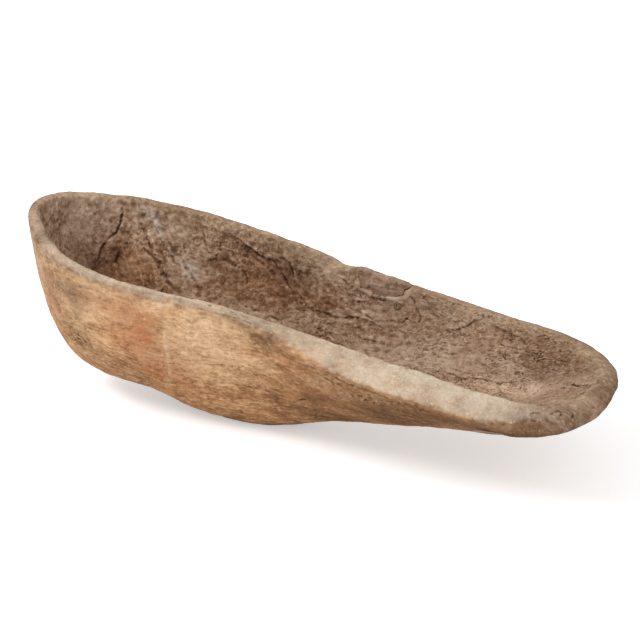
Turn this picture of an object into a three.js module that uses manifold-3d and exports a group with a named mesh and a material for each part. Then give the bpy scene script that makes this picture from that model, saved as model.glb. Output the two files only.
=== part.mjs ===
// A free-form dugout bowl hewn and hollowed out of one length of log.
// Millimetres, +Z up. The deep end is towards -X, the shallow scoop end towards +X,
// the near side (with the broad hewn bevel) towards -Y. The bowl stands on a small flat foot.

import * as THREE from 'three';
import { mergeVertices } from 'three/addons/utils/BufferGeometryUtils.js';
import Module from 'manifold-3d';

// Where the measuring stations lie between the two ends, as shares of the length
const heelAt = 0.1;
const shoulderAt = 0.2;
const middleAt = 0.4;
const waistAt = 0.6;
const scoopAt = 0.8;

// Plan of the rim crest: half widths before the ends are rounded off
const bowlLength = 900;
const deepEndHalfWidth = 172;
const heelHalfWidth = 183;
const shoulderHalfWidth = 170;
const middleHalfWidth = 128;
const waistHalfWidth = 120;
const scoopHalfWidth = 142;
const lipHalfWidth = 202;
const deepEndRoundness = 1;
const lipRoundness = 0.75;

// Height of the rim crest above the ground
const deepEndRimHeight = 298;
const heelRimHeight = 273;
const shoulderRimHeight = 258;
const middleRimHeight = 235;
const waistRimHeight = 204;
const scoopRimHeight = 175;
const lipRimHeight = 149;

// Height of the underside along the keel line, before the foot is cut flat
const deepEndKeelHeight = 114;
const heelKeelHeight = 50;
const shoulderKeelHeight = 24;
const middleKeelHeight = -2;
const waistKeelHeight = 30;
const scoopKeelHeight = 62;
const lipKeelHeight = 124;
const keelInsetDeep = 72;
const keelInsetShallow = 46;

// Thickness of the wood
const deepEndFloorThickness = 74;
const heelFloorThickness = 65;
const shoulderFloorThickness = 46;
const middleFloorThickness = 35;
const waistFloorThickness = 30;
const scoopFloorThickness = 26;
const lipFloorThickness = 26;
const deepEndWall = 58;
const shallowEndWall = 64;
const crestRounding = 5;
const crestRoundingDrop = 3.5;
const lipRounding = 14;
const lipRoundingDrop = 5;
const lipRoundsFrom = 0.75;

// The rim slopes from its crest to an outer edge: how far out and how far down.
// On the near side of the shallow half this is a broad bevel made with the adze, which
// begins, comes to its full size and ends at these shares of the length; the lip's own side
// falls off steepest a little beyond.
const rimOut = 14;
const rimDrop = 7;
const deepLipDrop = 5;
const bevelOut = 30;
const bevelDrop = 22;
const scoopBevelOut = 34;
const scoopBevelDrop = 27;
const farScoopOut = 20;
const farScoopDrop = 12;
const shallowLipOut = 24;
const lipSideDrop = 31;
const shallowLipDrop = 13;
const bevelStartsAt = 0.45;
const bevelFullAt = 0.56;
const bevelEndsAt = 0.85;
const lipSideAt = 0.93;
const bevelCrown = 2;

// Swellings (+) and hollows (-) left by the adze along the lower hull, out from its plain form
const deepEndSwell = 6;
const deepHeelSwell = 2;
const heelHollow = -12;
const shoulderSwell = 0;
const bellySwell = 6;
const waistHollow = -4;
const underBevelHollow = -2;
const scoopHollow = -3;
const scoopSwell = 8;
const lipSideSwell = 4;
const lipSwell = 0;
const swellSideways = 0.9;
const swellDownward = 0.6;
const swellStartsAt = 0.25;

// Broad dents (+) and rises (-) in the hollow. around is in degrees along the rim from the
// deep end's tip, negative on the far side; down is the share of the way to the middle.
const hollowDents = [
  { around: -26, down: 0.27, halfWidth: 40, depth: 6 },
  { around: -45, down: 0.12, halfWidth: 34, depth: -4 },
  { around: -60, down: 0.3, halfWidth: 36, depth: 3 },
  { around: -76, down: 0.12, halfWidth: 34, depth: 5 },
  { around: -89, down: 0.16, halfWidth: 28, depth: -3 },
  { around: -109, down: 0.1, halfWidth: 24, depth: 4 },
  { around: -121, down: 0.14, halfWidth: 28, depth: -3 },
  { around: -147, down: 0.2, halfWidth: 34, depth: 4 },
];

// The weathered knot let into the far rim, and the small dead knot below it
const knotFromMiddle = 66;
const knotHalfLength = 45;
const knotHalfHeight = 27;
const knotSink = 2;
const knotFlare = 5.4;
const knotReachIn = 60;
const knotReachOut = 40;
const knotProud = 1.4;
const rimDipDepth = 5;
const rimDipHalfLength = 17;
const pinKnotRadius = 5.5;
const pinKnotDepth = 14;
const pinKnotProud = 0.8;
const pinKnotWeb = 2.2;
const pinKnotAround = -62;
const seatClearance = 0.3;

// How finely the surfaces are laid out
const pointsAround = 96;
const outsideRows = 14;
const insideRows = 13;
const knotSides = 20;
const pinKnotSides = 20;

const woodColour = 0xa8845f;
const knotColour = 0x74604c;
const pinKnotColour = 0x4a3324;

const wasm = await Module();
wasm.setup();

// A smooth curve through [place, value] stations, read at one place
function along(stations, place) {
  const last = stations.length - 1;
  const gap = (i) => stations[i + 1][0] - stations[i][0];
  const rise = (i) => (stations[i + 1][1] - stations[i][1]) / gap(i);
  const slope = (i) => {
    if (i === 0) return rise(0);
    if (i === last) return rise(last - 1);
    return (rise(i - 1) * gap(i) + rise(i) * gap(i - 1)) / (gap(i) + gap(i - 1));
  };
  const at = Math.min(Math.max(place, stations[0][0]), stations[last][0]);
  let i = 0;
  while (i < last - 1 && at >= stations[i + 1][0]) i += 1;
  const u = (at - stations[i][0]) / gap(i);
  const start = (1 + 2 * u) * (1 - u) ** 2 * stations[i][1] + u * (1 - u) ** 2 * gap(i) * slope(i);
  const end = u * u * (3 - 2 * u) * stations[i + 1][1] + u * u * (u - 1) * gap(i) * slope(i + 1);
  return start + end;
}

// One value for each end and each station between them, as a curve along the bowl
function atStations(...values) {
  const places = [0, heelAt, shoulderAt, middleAt, waistAt, scoopAt, 1];
  return places.map((place, i) => [place, values[i]]);
}

const halfWidths = atStations(
  deepEndHalfWidth,
  heelHalfWidth,
  shoulderHalfWidth,
  middleHalfWidth,
  waistHalfWidth,
  scoopHalfWidth,
  lipHalfWidth,
);
const rimHeights = atStations(
  deepEndRimHeight,
  heelRimHeight,
  shoulderRimHeight,
  middleRimHeight,
  waistRimHeight,
  scoopRimHeight,
  lipRimHeight,
);
const keelHeights = atStations(
  deepEndKeelHeight,
  heelKeelHeight,
  shoulderKeelHeight,
  middleKeelHeight,
  waistKeelHeight,
  scoopKeelHeight,
  lipKeelHeight,
);
const floorThicknesses = atStations(
  deepEndFloorThickness,
  heelFloorThickness,
  shoulderFloorThickness,
  middleFloorThickness,
  waistFloorThickness,
  scoopFloorThickness,
  lipFloorThickness,
);
const nearOuts = [
  [0, rimOut],
  [bevelStartsAt, rimOut],
  [bevelFullAt, bevelOut],
  [bevelEndsAt, scoopBevelOut],
  [1, shallowLipOut],
];
const nearDrops = [
  [0, deepLipDrop],
  [0.1, rimDrop],
  [bevelStartsAt, rimDrop],
  [bevelFullAt, bevelDrop],
  [bevelEndsAt, scoopBevelDrop],
  [lipSideAt, lipSideDrop],
  [1, shallowLipDrop],
];
const farOuts = [
  [0, rimOut],
  [0.5, rimOut],
  [bevelEndsAt, farScoopOut],
  [1, shallowLipOut],
];
const farDrops = [
  [0, deepLipDrop],
  [0.5, rimDrop],
  [bevelEndsAt, farScoopDrop],
  [1, shallowLipDrop],
];
const swells = [
  [0, deepEndSwell],
  [0.1, deepHeelSwell],
  [0.2, heelHollow],
  [0.27, shoulderSwell],
  [0.4, bellySwell],
  [0.55, waistHollow],
  [0.68, underBevelHollow],
  [0.81, scoopHollow],
  [0.87, scoopSwell],
  [0.94, lipSideSwell],
  [1, lipSwell],
];
const innerRoundings = [
  [0, crestRounding],
  [lipRoundsFrom, crestRounding],
  [1, lipRounding],
];
const innerDrops = [
  [0, crestRoundingDrop],
  [lipRoundsFrom, crestRoundingDrop],
  [1, lipRoundingDrop],
];

// The two skins run from the rim down to a line along the middle. fullness above 2 squares
// the section off, lean of 1 makes it a straight slope; ends and sides have their own values.
const outside = {
  insetDeep: keelInsetDeep,
  insetShallow: keelInsetShallow,
  sideLean: [[0, 0.35], [0.4, 0.35], [0.65, 0.5], [1, 0.45]],
  sideFullness: [[0, 2.3], [0.65, 2.2], [1, 2]],
  endLean: { deep: 0.19, shallow: 0.25 },
  endFullness: { deep: 2.35, shallow: 2 },
  bottom: (share) => along(keelHeights, share),
};
const inside = {
  insetDeep: keelInsetDeep + deepEndWall,
  insetShallow: keelInsetShallow + shallowEndWall,
  sideLean: [[0, 0.45], [0.2, 0.42], [0.45, 0.3], [0.65, 0.4], [0.82, 0.75], [1, 0.95]],
  sideFullness: [[0, 2.3], [0.65, 2.2], [1, 2]],
  endLean: { deep: 0.2, shallow: 0.95 },
  endFullness: { deep: 2.3, shallow: 1.7 },
  bottom: (share) => along(keelHeights, share) + along(floorThicknesses, share),
};

// One point of the rim crest. turn goes from the deep end along the near side to the scoop
// end and back along the far side.
function crestPoint(turn) {
  const share = (1 - Math.cos(turn)) / 2;
  const side = Math.sin(turn) >= 0 ? -1 : 1;
  const roundness = deepEndRoundness + (lipRoundness - deepEndRoundness) * share;
  const reach = Math.abs(Math.sin(turn)) ** roundness * along(halfWidths, share);
  const x = -bowlLength / 2 + rimOut + (bowlLength - rimOut - shallowLipOut) * share;
  const fromDip = (x - (knotFromMiddle - knotHalfLength - rimDipHalfLength)) / rimDipHalfLength;
  const dip = side > 0 ? rimDipDepth * Math.exp(-fromDip * fromDip) : 0;
  return { share, side, point: new THREE.Vector3(x, side * reach, along(rimHeights, share) - dip) };
}

// The rim at one turn: its crest, the outer edge of its slope, and which way is out in plan
function rimAt(turn) {
  const step = 0.001;
  const { share, side, point } = crestPoint(turn);
  const run = crestPoint(turn + step).point.sub(crestPoint(turn - step).point);
  const out = new THREE.Vector3(run.y, -run.x, 0).normalize();
  const near = side < 0;
  const edge = point.clone().addScaledVector(out, along(near ? nearOuts : farOuts, share));
  edge.z -= along(near ? nearDrops : farDrops, share);
  return { share, side, crest: point, edge, out };
}

// The edge where the inner face begins, just inside the crest and below it
function innerEdge(rim) {
  const start = rim.crest.clone().addScaledVector(rim.out, -along(innerRoundings, rim.share));
  start.z -= along(innerDrops, rim.share);
  return start;
}

// A point of a skin, down from start on the rim (0) to the line along the middle (1)
function skinPoint(skin, start, share, turn, down) {
  const endward = Math.cos(turn) ** 4;
  const end = Math.cos(turn) > 0 ? 'deep' : 'shallow';
  const mix = (sides, ends) => along(sides, share) * (1 - endward) + ends[end] * endward;
  const lean = mix(skin.sideLean, skin.endLean);
  const power = 2 / mix(skin.sideFullness, skin.endFullness);
  const angle = (down * Math.PI) / 2;
  const sunk = Math.sin(angle) ** power;
  const drawnIn = (1 - lean) * (1 - Math.max(Math.cos(angle), 0) ** power) + lean * sunk;
  const lineStart = -bowlLength / 2 + skin.insetDeep;
  const lineX = lineStart + (bowlLength - skin.insetDeep - skin.insetShallow) * share;
  const lineZ = skin.bottom(lineX / bowlLength + 0.5);
  return new THREE.Vector3(
    start.x + (lineX - start.x) * drawnIn,
    start.y * (1 - drawnIn),
    start.z + (lineZ - start.z) * sunk,
  );
}

// The swellings and hollows of the lower hull, fading out towards the rim
function swellHull(point, share, side, down) {
  const grown = Math.sin((Math.max(down - swellStartsAt, 0) / (1 - swellStartsAt)) * (Math.PI / 2)) ** 2;
  const amount = along(swells, share) * grown;
  point.y += side * amount * Math.sqrt(1 - down) * swellSideways;
  point.z -= amount * swellDownward;
  return point;
}

// A point of the hollow's plain form, down from the rim (0) to the middle of the floor (1)
function plainHollow(turn, down) {
  const rim = rimAt(turn);
  return skinPoint(inside, innerEdge(rim), rim.share, turn, down);
}

// The hollow with its broad dents, each pushed out and down along the wall's facing
function hollowPoint(turn, down) {
  const point = plainHollow(turn, down);
  const angle = (down * Math.PI) / 2;
  const { out } = rimAt(turn);
  const away = new THREE.Vector3(out.x * Math.cos(angle), out.y * Math.cos(angle), -Math.sin(angle));
  const plain = point.clone();
  hollowDents.forEach((dent) => {
    const centre = plainHollow(THREE.MathUtils.degToRad(dent.around), dent.down);
    const off = plain.distanceTo(centre) / dent.halfWidth;
    point.addScaledVector(away, dent.depth * Math.exp(-off * off));
  });
  return point;
}

// All the rows of points round the bowl, from the keel up the outside, over the rim and down
// the inside to the middle of the floor
function bowlRows() {
  const rows = [];
  const turns = [];
  for (let j = 0; j < pointsAround; j += 1) turns.push((j / pointsAround) * 2 * Math.PI);
  const addRow = (pointAt) => rows.push(turns.map((turn) => pointAt(turn, rimAt(turn))));
  for (let i = 0; i <= outsideRows; i += 1) {
    const down = 1 - i / outsideRows;
    addRow((turn, rim) => {
      const point = skinPoint(outside, rim.edge, rim.share, turn, down);
      return swellHull(point, rim.share, rim.side, down);
    });
  }
  addRow((turn, rim) => {
    const crown = rim.crest.clone().lerp(rim.edge, 0.5);
    crown.addScaledVector(rim.out, bevelCrown * 0.7);
    crown.z += bevelCrown;
    return crown;
  });
  addRow((turn, rim) => rim.crest);
  for (let i = 0; i <= insideRows; i += 1) {
    addRow((turn) => hollowPoint(turn, i / insideRows));
  }
  return rows;
}

// A closed body from rows whose first and last row each fold flat onto a line
function closedFromRows(rows) {
  const count = rows[0].length;
  const half = count / 2;
  const starts = [];
  const positions = [];
  rows.forEach((row, r) => {
    starts.push(positions.length / 3);
    const folded = r === 0 || r === rows.length - 1;
    row.slice(0, folded ? half + 1 : count).forEach((p) => positions.push(p.x, folded ? 0 : p.y, p.z));
  });
  const vertexAt = (r, j) => {
    const around = j % count;
    const folded = r === 0 || r === rows.length - 1;
    return starts[r] + (folded && around > half ? count - around : around);
  };
  const faces = [];
  for (let r = 0; r < rows.length - 1; r += 1) {
    for (let j = 0; j < count; j += 1) {
      const corners = [vertexAt(r, j), vertexAt(r, j + 1), vertexAt(r + 1, j + 1), vertexAt(r + 1, j)];
      faces.push(corners[0], corners[1], corners[2], corners[0], corners[2], corners[3]);
    }
  }
  return toSolid(positions, faces);
}

function toSolid(positions, faces) {
  const vertProperties = Float32Array.from(positions);
  const triVerts = Uint32Array.from(faces);
  return new wasm.Manifold(new wasm.Mesh({ numProp: 3, vertProperties, triVerts }));
}

// A three.js geometry as a solid, once its shared corners are merged
function solidOf(geometry) {
  geometry.deleteAttribute('normal');
  geometry.deleteAttribute('uv');
  const merged = mergeVertices(geometry, 1e-3);
  return toSolid(merged.getAttribute('position').array, merged.getIndex().array);
}

// The space below the ground, which cuts the foot flat
function belowGround() {
  const box = new THREE.BoxGeometry(bowlLength, bowlLength, bowlLength);
  return solidOf(box.translate(0, 0, -bowlLength / 2));
}

// The turn of the rim on the far side at one distance from the middle of the length
function farTurn(x) {
  const share = (x + bowlLength / 2 - rimOut) / (bowlLength - rimOut - shallowLipOut);
  return 2 * Math.PI - Math.acos(1 - 2 * share);
}

// Where the inner face of the far wall lies at one height, found by halving
function farInnerFace(x, z) {
  const turn = farTurn(x);
  let [high, low] = [0, 1];
  for (let i = 0; i < 30; i += 1) {
    const middle = (high + low) / 2;
    if (hollowPoint(turn, middle).z > z) high = middle;
    else low = middle;
  }
  return hollowPoint(turn, low).y;
}

// The middle of the knot's oval, on its way through the far wall
function knotCentre() {
  const { crest } = rimAt(farTurn(knotFromMiddle));
  return new THREE.Vector3(knotFromMiddle, crest.y, crest.z - knotSink);
}

// The oval body of the knot, running through the far wall and flaring towards the bark.
// grow is how much larger than the knot it is all round.
function knotBody(grow) {
  const oval = new THREE.Shape();
  oval.absellipse(0, 0, knotHalfLength + grow, knotHalfHeight + grow, 0, 2 * Math.PI);
  const depth = knotReachIn + knotReachOut;
  const body = new THREE.ExtrudeGeometry(oval, { depth, bevelEnabled: false, curveSegments: knotSides });
  body.translate(0, 0, -knotReachIn);
  const places = body.getAttribute('position');
  for (let i = 0; i < places.count; i += 1) {
    const scale = 1 + (knotFlare * places.getZ(i)) / (knotReachOut * knotHalfLength);
    places.setXY(i, places.getX(i) * scale, places.getY(i) * scale);
  }
  body.rotateX(-Math.PI / 2);
  const centre = knotCentre();
  return solidOf(body.translate(centre.x, centre.y, centre.z));
}

// The middle of the small knot's face, set off square from the large knot's oval
function pinKnotCentre() {
  const around = THREE.MathUtils.degToRad(pinKnotAround);
  const onOval = new THREE.Vector2(knotHalfLength * Math.cos(around), knotHalfHeight * Math.sin(around));
  const away = new THREE.Vector2(Math.cos(around) / knotHalfLength, Math.sin(around) / knotHalfHeight);
  away.setLength(2 * seatClearance + pinKnotWeb + pinKnotRadius);
  const centre = knotCentre();
  const x = centre.x + onOval.x + away.x;
  const z = centre.z + onOval.y + away.y;
  return new THREE.Vector3(x, farInnerFace(x, z), z);
}

// The round body of the small knot, grow larger all round and at its blind end
function pinKnotBody(grow) {
  const length = pinKnotDepth + grow + knotReachIn;
  const body = new THREE.CylinderGeometry(pinKnotRadius + grow, pinKnotRadius + grow, length, pinKnotSides);
  const centre = pinKnotCentre();
  body.translate(0, length / 2 - knotReachIn, 0);
  return solidOf(body.translate(centre.x, centre.y, centre.z));
}

// A named mesh of one solid in its own colour
function namedMesh(name, solid, colour, roughness) {
  const { numProp, vertProperties, triVerts } = solid.getMesh();
  const geometry = new THREE.BufferGeometry();
  geometry.setAttribute('position', new THREE.BufferAttribute(vertProperties, numProp));
  geometry.setIndex(new THREE.BufferAttribute(triVerts, 1));
  geometry.computeVertexNormals();
  const material = new THREE.MeshStandardMaterial({ color: colour, roughness, metalness: 0 });
  const mesh = new THREE.Mesh(geometry, material);
  mesh.name = name;
  return mesh;
}

const hewn = closedFromRows(bowlRows()).subtract(belowGround());
const bowlSolid = hewn.subtract(knotBody(seatClearance)).subtract(pinKnotBody(seatClearance));
const knotSolid = hewn.translate([0, -knotProud, 0]).intersect(knotBody(0));
const pinKnotSolid = hewn.translate([0, -pinKnotProud, 0]).intersect(pinKnotBody(0));

const bowl = new THREE.Group();
bowl.add(namedMesh('bowl_body', bowlSolid, woodColour, 0.85));
bowl.add(namedMesh('rim_knot', knotSolid, knotColour, 0.9));
bowl.add(namedMesh('pin_knot', pinKnotSolid, pinKnotColour, 0.8));

// The origin lies under the middle of the bowl's own width, on the ground
const extent = new THREE.Box3().setFromObject(bowl);
bowl.position.y = -extent.getCenter(new THREE.Vector3()).y;
bowl.updateMatrixWorld(true);

export default bowl;
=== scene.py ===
# A dugout bowl hewn and hollowed from one length of log, weathered and dusty, with a
# granular knot let into the far rim and a small dead knot below it.
# Shapes are worked out in millimetres and become metres when a mesh is made.
import math

import bpy
import numpy as np
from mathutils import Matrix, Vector


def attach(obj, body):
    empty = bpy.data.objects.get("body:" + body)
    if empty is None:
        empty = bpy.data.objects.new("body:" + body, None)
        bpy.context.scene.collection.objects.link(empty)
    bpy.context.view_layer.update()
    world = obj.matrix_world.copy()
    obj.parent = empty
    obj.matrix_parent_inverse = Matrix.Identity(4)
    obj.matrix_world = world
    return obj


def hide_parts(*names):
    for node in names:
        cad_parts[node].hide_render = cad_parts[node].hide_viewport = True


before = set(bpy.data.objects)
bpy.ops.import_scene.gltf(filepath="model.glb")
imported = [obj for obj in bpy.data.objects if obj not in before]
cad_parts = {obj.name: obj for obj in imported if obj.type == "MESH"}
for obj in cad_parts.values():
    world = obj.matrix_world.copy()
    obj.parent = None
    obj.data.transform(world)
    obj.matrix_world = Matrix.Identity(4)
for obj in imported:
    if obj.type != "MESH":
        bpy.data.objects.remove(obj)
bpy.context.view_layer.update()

metresPerMm = .001
print("frame loaded")


# smooth random relief

seedShift = 17.31      # how far the pattern moves from one seed to the next
noiseReach = 1.6       # brings its values to about -1 to 1
noiseTable = np.random.RandomState(11)
noiseOrder = np.tile(noiseTable.permutation(256), 2)
noiseSlopes = noiseTable.normal(size=(256, 3))
noiseSlopes /= np.linalg.norm(noiseSlopes, axis=1, keepdims=True)


def noise(points, size, seed=0):
    # size is how far apart the bumps are, in mm, or three such numbers
    places = points / np.asarray(size, float) + seed * seedShift
    cell = np.floor(places).astype(np.int64)
    part = places - cell
    cell &= 255
    fade = part ** 3 * (part * (part * 6 - 15) + 10)
    total = np.zeros(points.shape[:-1])
    for corner in np.ndindex(2, 2, 2):
        ix, iy, iz = [(cell[..., k] + corner[k]) & 255 for k in range(3)]
        slope = noiseSlopes[noiseOrder[noiseOrder[noiseOrder[ix] + iy] + iz]]
        weight = 1
        for k in range(3):
            weight = weight * (fade[..., k] if corner[k] else 1 - fade[..., k])
        total += weight * ((part - corner) * slope).sum(-1)
    return total * noiseReach


def layeredNoise(points, size, layers=3, seed=0):
    total = 0
    for i in range(layers):
        total = total + noise(points, np.asarray(size, float) / 2 ** i, seed + i) / 2 ** i
    return total


def smoothStep(low, high, value):
    t = np.clip((value - low) / (high - low), 0, 1)
    return t * t * (3 - 2 * t)


# the form of the bowl

bowlForm = {
    "length": 900,
    "stations": [0, .1, .2, .4, .6, .8, 1],            # shares of the length, deep end first
    "halfWidths": [172, 183, 170, 128, 120, 142, 202],
    "rimHeights": [298, 273, 258, 235, 204, 175, 149],
    "keelHeights": [114, 50, 24, -2, 30, 62, 124],
    "floorThicknesses": [74, 65, 46, 35, 30, 26, 26],
    "roundness": (1, .75),                             # of the rim's plan, deep end and lip
    "rimOut": 14,
    "lipOut": 24,
    "nearOuts": [(0, 14), (.45, 14), (.56, 30), (.85, 34), (1, 24)],
    "nearDrops": [(0, 5), (.1, 7), (.45, 7), (.56, 22), (.85, 27), (.93, 31), (1, 13)],
    "farOuts": [(0, 14), (.5, 14), (.85, 20), (1, 24)],
    "farDrops": [(0, 5), (.5, 7), (.85, 12), (1, 13)],
    "innerRoundings": [(0, 5), (.75, 5), (1, 14)],
    "innerDrops": [(0, 3.5), (.75, 3.5), (1, 5)],
    "bevelCrown": 2,
    "dip": (5, 4, 17),                                 # depth, place along and half length
    "swells": [(0, 6), (.1, 2), (.2, -12), (.27, 0), (.4, 6), (.55, -4), (.68, -2), (.81, -3), (.87, 8),
               (.94, 4), (1, 0)],
}
outerSkin = {
    "sideLean": [(0, .35), (.4, .35), (.65, .5), (1, .45)],
    "sideFullness": [(0, 2.3), (.65, 2.2), (1, 2)],
    "endLean": (.19, .25),
    "endFullness": (2.35, 2),
    "insets": (72, 46),
}
innerSkin = {
    "sideLean": [(0, .45), (.2, .42), (.45, .3), (.65, .4), (.82, .75), (1, .95)],
    "sideFullness": [(0, 2.3), (.65, 2.2), (1, 2)],
    "endLean": (.2, .95),
    "endFullness": (2.3, 1.7),
    "insets": (130, 110),
}
# broad dents (+) and rises (-) of the hollow: degrees round the rim, share of the way down,
# half width and depth in mm
hollowDents = [(-26, .27, 40, 6), (-45, .12, 34, -4), (-60, .3, 36, 3), (-76, .12, 34, 5),
               (-89, .16, 28, -3), (-109, .1, 24, 4), (-121, .14, 28, -3), (-147, .2, 34, 4)]


def along(places, values, at):
    # a smooth curve through the stations
    k, v = np.asarray(places, float), np.asarray(values, float)
    gap = np.diff(k)
    rise = np.diff(v) / gap
    slope = np.empty_like(v)
    slope[0], slope[-1] = rise[0], rise[-1]
    slope[1:-1] = (rise[:-1] * gap[1:] + rise[1:] * gap[:-1]) / (gap[1:] + gap[:-1])
    at = np.clip(at, k[0], k[-1])
    i = np.clip(np.searchsorted(k, at, side="right") - 1, 0, len(k) - 2)
    u = (at - k[i]) / gap[i]
    start = (1 + 2 * u) * (1 - u) ** 2 * v[i] + u * (1 - u) ** 2 * gap[i] * slope[i]
    end = u * u * (3 - 2 * u) * v[i + 1] + u * u * (u - 1) * gap[i] * slope[i + 1]
    return start + end


def onStations(name, share):
    return along(bowlForm["stations"], bowlForm[name], share)


def onPairs(pairs, share):
    return along([p[0] for p in pairs], [p[1] for p in pairs], share)


def crestAt(turn):
    b = bowlForm
    share = (1 - np.cos(turn)) / 2
    side = np.where(np.sin(turn) >= 0, -1.0, 1.0)
    roundness = b["roundness"][0] + (b["roundness"][1] - b["roundness"][0]) * share
    reach = np.abs(np.sin(turn)) ** roundness * onStations("halfWidths", share)
    x = -b["length"] / 2 + b["rimOut"] + (b["length"] - b["rimOut"] - b["lipOut"]) * share
    depth, place, half = b["dip"]
    dip = np.where(side > 0, depth * np.exp(-((x - place) / half) ** 2), 0)
    return share, side, np.stack([x, side * reach, onStations("rimHeights", share) - dip], -1)


def rimAt(turn):
    b = bowlForm
    step = .001
    share, side, crest = crestAt(turn)
    run = crestAt(turn + step)[2] - crestAt(turn - step)[2]
    out = np.stack([run[..., 1], -run[..., 0], 0 * run[..., 0]], -1)
    out /= np.linalg.norm(out, axis=-1, keepdims=True)
    near = side < 0
    outs = np.where(near, onPairs(b["nearOuts"], share), onPairs(b["farOuts"], share))
    drops = np.where(near, onPairs(b["nearDrops"], share), onPairs(b["farDrops"], share))
    edge = crest + out * outs[..., None]
    edge[..., 2] -= drops
    return share, side, crest, edge, out


def skinPoint(skin, bottom, start, share, turn, down):
    # a point of one skin, down from the rim (0) to the line along the middle (1)
    b = bowlForm
    endward = np.cos(turn) ** 4
    deep = np.cos(turn) > 0
    sideways = 1 - endward
    lean = onPairs(skin["sideLean"], share) * sideways + np.where(deep, *skin["endLean"]) * endward
    full = onPairs(skin["sideFullness"], share) * sideways + np.where(deep, *skin["endFullness"]) * endward
    angle = down * math.pi / 2
    sunk = np.sin(angle) ** (2 / full)
    drawnIn = (1 - lean) * (1 - np.maximum(np.cos(angle), 0) ** (2 / full)) + lean * sunk
    lineX = -b["length"] / 2 + skin["insets"][0] + (b["length"] - sum(skin["insets"])) * share
    lineZ = bottom(lineX / b["length"] + .5)
    return np.stack([
        start[..., 0] + (lineX - start[..., 0]) * drawnIn,
        start[..., 1] * (1 - drawnIn),
        start[..., 2] + (lineZ - start[..., 2]) * sunk,
    ], -1)


def underside(share):
    return onStations("keelHeights", share)


def hollowFloor(share):
    return onStations("keelHeights", share) + onStations("floorThicknesses", share)


def outsideAt(turn, down):
    share, side, crest, edge, out = rimAt(turn)
    point = skinPoint(outerSkin, underside, edge, share, turn, down)
    grown = np.sin(np.maximum(down - .25, 0) / .75 * math.pi / 2) ** 2
    amount = onPairs(bowlForm["swells"], share) * grown
    point[..., 1] += side * amount * np.sqrt(np.maximum(1 - down, 0)) * .9
    point[..., 2] = np.maximum(point[..., 2] - amount * .6, 0)
    return point


def plainHollow(turn, down):
    share, side, crest, edge, out = rimAt(turn)
    start = crest - out * onPairs(bowlForm["innerRoundings"], share)[..., None]
    start[..., 2] -= onPairs(bowlForm["innerDrops"], share)
    return skinPoint(innerSkin, hollowFloor, start, share, turn, down), out


def insideAt(turn, down):
    plain, out = plainHollow(turn, down)
    away = out * np.cos(down * math.pi / 2)[..., None]
    away[..., 2] = -np.sin(down * math.pi / 2)
    point = plain.copy()
    for around, at, halfWidth, depth in hollowDents:
        centre = plainHollow(np.radians([around % 360]), np.array([at]))[0][0]
        off = np.linalg.norm(plain - centre, axis=-1) / halfWidth
        point += away * (depth * np.exp(-off * off))[..., None]
    return point


# the skin of the bowl, laid out in rows from the keel up, over the rim and down the hollow

gridSize = {
    "around": 1500,
    "outside": 210,
    "bevel": 26,
    "lip": 8,
    "inside": 200,
    "rimSoftening": 9,    # rounds of smoothing over the rim's corners
}
# which rows are rounded at the rim's corners, and how many more of them at the scoop's lip
rimRounding = {
    "outside": (6, 8),
    "inside": (4, 26),
    "fades": (8, 12),     # rows over which it sets in and ends
    "lipFrom": .75,       # share of the length
}


def spacedTurns(count):
    # turns of half the rim, the same distance apart along it
    fine = np.linspace(0, math.pi, 4001)
    points = rimAt(np.clip(fine, 1e-6, math.pi - 1e-6))[3]
    lengths = np.r_[0, np.cumsum(np.linalg.norm(np.diff(points, axis=0), axis=1))]
    return np.interp(np.linspace(0, lengths[-1], count), lengths, fine)


def layOutBowl():
    g = gridSize
    half = spacedTurns(g["around"] // 2 + 1)
    turns = np.r_[half, 2 * math.pi - half[-2:0:-1]]
    rows = []
    for down in np.linspace(1, 0, g["outside"] + 1):
        rows.append(outsideAt(turns, np.full_like(turns, down)))
    share, side, crest, edge, out = rimAt(turns)
    crown = (crest + edge) / 2 + out * bowlForm["bevelCrown"] * .7
    crown[:, 2] += bowlForm["bevelCrown"]
    for t in np.linspace(0, 1, g["bevel"] + 1)[1:]:
        bent = crown * 2 - (crest + edge) / 2
        rows.append(edge * (1 - t) ** 2 + bent * 2 * t * (1 - t) + crest * t * t)
    crestRow = len(rows) - 1
    start = insideAt(turns, np.zeros_like(turns))
    for t in np.linspace(0, 1, g["lip"] + 1)[1:-1]:
        rows.append(crest * (1 - t) + start * t)
    for down in np.linspace(0, 1, g["inside"] + 1):
        rows.append(insideAt(turns, np.full_like(turns, down)))
    grid = np.array(rows)
    r = rimRounding
    rowOf = np.arange(len(rows))[:, None]
    lipShare = smoothStep(r["lipFrom"], 1, share)[None]
    first = g["outside"] - r["outside"][0] - r["outside"][1] * lipShare
    last = crestRow + g["lip"] + r["inside"][0] + r["inside"][1] * lipShare
    soft = smoothStep(first - r["fades"][0], first, rowOf) * (1 - smoothStep(last, last + r["fades"][1], rowOf))
    inner = np.exp(-((rowOf - crestRow - g["lip"]) / (g["lip"] * 1.5)) ** 2)
    soft = soft * (1 - .5 * inner * (1 - lipShare))
    for _ in range(g["rimSoftening"]):
        grid[1:-1] += .5 * soft[1:-1, :, None] * ((grid[:-2] + grid[2:]) / 2 - grid[1:-1])
    return turns, grid, crestRow


def normalsOf(grid):
    acrossRows = np.empty_like(grid)
    acrossRows[1:-1] = grid[2:] - grid[:-2]
    acrossRows[0], acrossRows[-1] = acrossRows[1], acrossRows[-2]
    around = np.roll(grid, -1, 1) - np.roll(grid, 1, 1)
    normals = np.cross(around, acrossRows)
    return normals / np.maximum(np.linalg.norm(normals, axis=-1, keepdims=True), 1e-9)


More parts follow.
